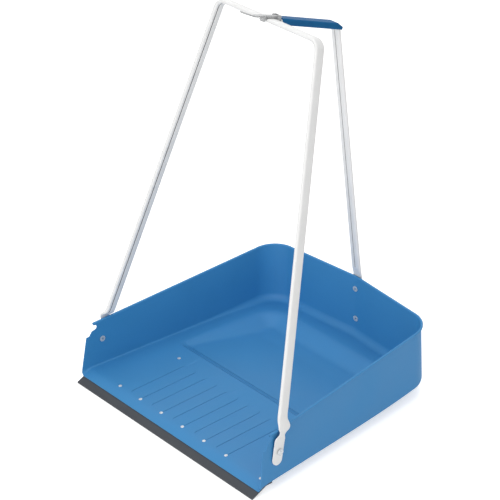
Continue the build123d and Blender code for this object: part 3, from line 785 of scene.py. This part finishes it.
low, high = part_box("lip_rivets")
first_head = low.x + HEAD_INSET
lip_places = [(first_head + LIP_HEAD_PITCH * index, LIP_HEAD_DEPTH) for index in range(LIP_HEAD_COUNT)]
lip_heads = flat_heads("lip_rivet_heads", lip_places + [(high.x - HEAD_INSET, LIP_HEAD_DEPTH)])
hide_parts("lip_rivets")
low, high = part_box("stiffener_rivets")
bar_depth = (low.y + high.y) / 2 - wall_front
bar_places = [(low.x + HEAD_INSET, bar_depth), (high.x - HEAD_INSET, bar_depth)]
bar_heads = flat_heads("bar_rivet_heads", bar_places)
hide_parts("stiffener_rivets")
for piece in (lip_heads, bar_heads):
    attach(piece, "base")


# The hand grip is a sleeve of dark blue plastic, pushed over the handle's bar.
# It is smooth from the mould, with a faint fine texture that dulls its shine.
GRIP_BLUE = (0.013, 0.115, 0.28, 1)
GRIP_DEEP = (0.011, 0.1, 0.25, 1)
GRIP_ROUGH = (0.4, 0.5)
GRIP_SHINE = 0.04
FLOW_SIZE = 0.02
MOULD_SIZE = 0.0007
MOULD_DEPTH = 0.00002

grip_plastic, tree, shader, place = new_coat("grip_plastic")
flow = grain(tree, place, FLOW_SIZE)
tree.links.new(tint(tree, flow, GRIP_DEEP, GRIP_BLUE), shader.inputs["Base Color"])
tree.links.new(spread(tree, flow, *GRIP_ROUGH), shader.inputs["Roughness"])
shader.inputs["Specular IOR Level"].default_value = GRIP_SHINE
relief(tree, shader, grain(tree, place, MOULD_SIZE, detail=2.0), MOULD_DEPTH)
dress(grip_plastic, "hand_grip")


# The studio is a wide white floor that runs out of sight under a white surround.
# What the camera and the gloss see of the surround is plain white, and the floor is lifted
# to white for them too, so that it keeps only the dustpan's shadow.
FLOOR_REACH = 6.0
FLOOR_COLOUR = (0.88, 0.88, 0.88, 1)
FLOOR_ROUGH = 0.9
FLOOR_SHINE = 0.0
FLOOR_LIFT = 0.55
SURROUND_LIGHT = 0.45
SURROUND_SEEN = 1.0
WHITE = (1, 1, 1, 1)


def seen_directly(tree):
    """1 for rays from the camera, a gloss or a clear surface, or else 0."""
    path = tree.nodes.new("ShaderNodeLightPath")
    seen = path.outputs["Is Camera Ray"]
    for ray in ("Is Glossy Ray", "Is Transmission Ray"):
        either = tree.nodes.new("ShaderNodeMath")
        either.operation = "MAXIMUM"
        tree.links.new(seen, either.inputs[0])
        tree.links.new(path.outputs[ray], either.inputs[1])
        seen = either.outputs["Value"]
    return seen


shell = bmesh.new()
bmesh.ops.create_grid(shell, x_segments=1, y_segments=1, size=FLOOR_REACH)
floor = finished("studio_floor", shell)
floor_coat, tree, shader, place = new_coat("floor_coat")
shader.inputs["Base Color"].default_value = FLOOR_COLOUR
shader.inputs["Roughness"].default_value = FLOOR_ROUGH
shader.inputs["Specular IOR Level"].default_value = FLOOR_SHINE
shader.inputs["Emission Color"].default_value = WHITE
lift = tree.nodes.new("ShaderNodeMath")
lift.operation = "MULTIPLY"
lift.inputs[1].default_value = FLOOR_LIFT
tree.links.new(seen_directly(tree), lift.inputs[0])
tree.links.new(lift.outputs["Value"], shader.inputs["Emission Strength"])
floor.data.materials.append(floor_coat)

world = bpy.data.worlds.new("studio_surround")
world.use_nodes = True
tree = world.node_tree
tree.nodes.clear()
soft = tree.nodes.new("ShaderNodeBackground")
soft.inputs["Strength"].default_value = SURROUND_LIGHT
plain = tree.nodes.new("ShaderNodeBackground")
plain.inputs["Strength"].default_value = SURROUND_SEEN
for sky in (soft, plain):
    sky.inputs["Color"].default_value = WHITE
either_sky = tree.nodes.new("ShaderNodeMixShader")
tree.links.new(seen_directly(tree), either_sky.inputs["Fac"])
tree.links.new(soft.outputs["Background"], either_sky.inputs[1])
tree.links.new(plain.outputs["Background"], either_sky.inputs[2])
surround_out = tree.nodes.new("ShaderNodeOutputWorld")
tree.links.new(either_sky.outputs["Shader"], surround_out.inputs["Surface"])
scene.world = world


# Four soft boxes light the dustpan: overhead, in front, to the right and behind on the left.
# Each is a square of white cloth with an even glow, turned to the middle of the pan.
LAMP_TARGET = Vector((0, 0, 0.2))
# Place, width and power of each
SOFT_BOXES = {
    "soft_box_top": ((-0.2, 0.2, 2.5), 1.8, 22.0),
    "soft_box_front": ((0.6, -2.8, 1.3), 1.8, 37.0),
    "soft_box_right": ((5.0, -0.9, 1.6), 3.4, 44.0),
    "soft_box_back": ((-2.6, 2.3, 2.0), 2.2, 15.0),
}
for name, (spot, size, power) in SOFT_BOXES.items():
    lamp = bpy.data.lights.new(name, "AREA")
    lamp.shape = "SQUARE"
    lamp.size = size
    lamp.energy = power
    box = bpy.data.objects.new(name, lamp)
    box.location = spot
    box.rotation_euler = (LAMP_TARGET - box.location).to_track_quat("-Z", "Y").to_euler()
    scene.collection.objects.link(box)


# The camera looks down on the pan from its front right, with a long lens.
# Colours are shown as they are written, with no film look.
CAMERA_SPOT = Vector((1.90937, -1.74372, 1.71988))
CAMERA_TARGET = Vector((0.0004, -0.0273, 0.2604))
CAMERA_LENS = 141.7
CAMERA_SENSOR = 36.0

eye = bpy.data.cameras.new("photo_camera")
eye.lens = CAMERA_LENS
eye.sensor_width = CAMERA_SENSOR
camera = bpy.data.objects.new("photo_camera", eye)
camera.location = CAMERA_SPOT
camera.rotation_euler = (CAMERA_TARGET - CAMERA_SPOT).to_track_quat("-Z", "Y").to_euler()
scene.collection.objects.link(camera)
scene.camera = camera
scene.view_settings.view_transform = "Standard"
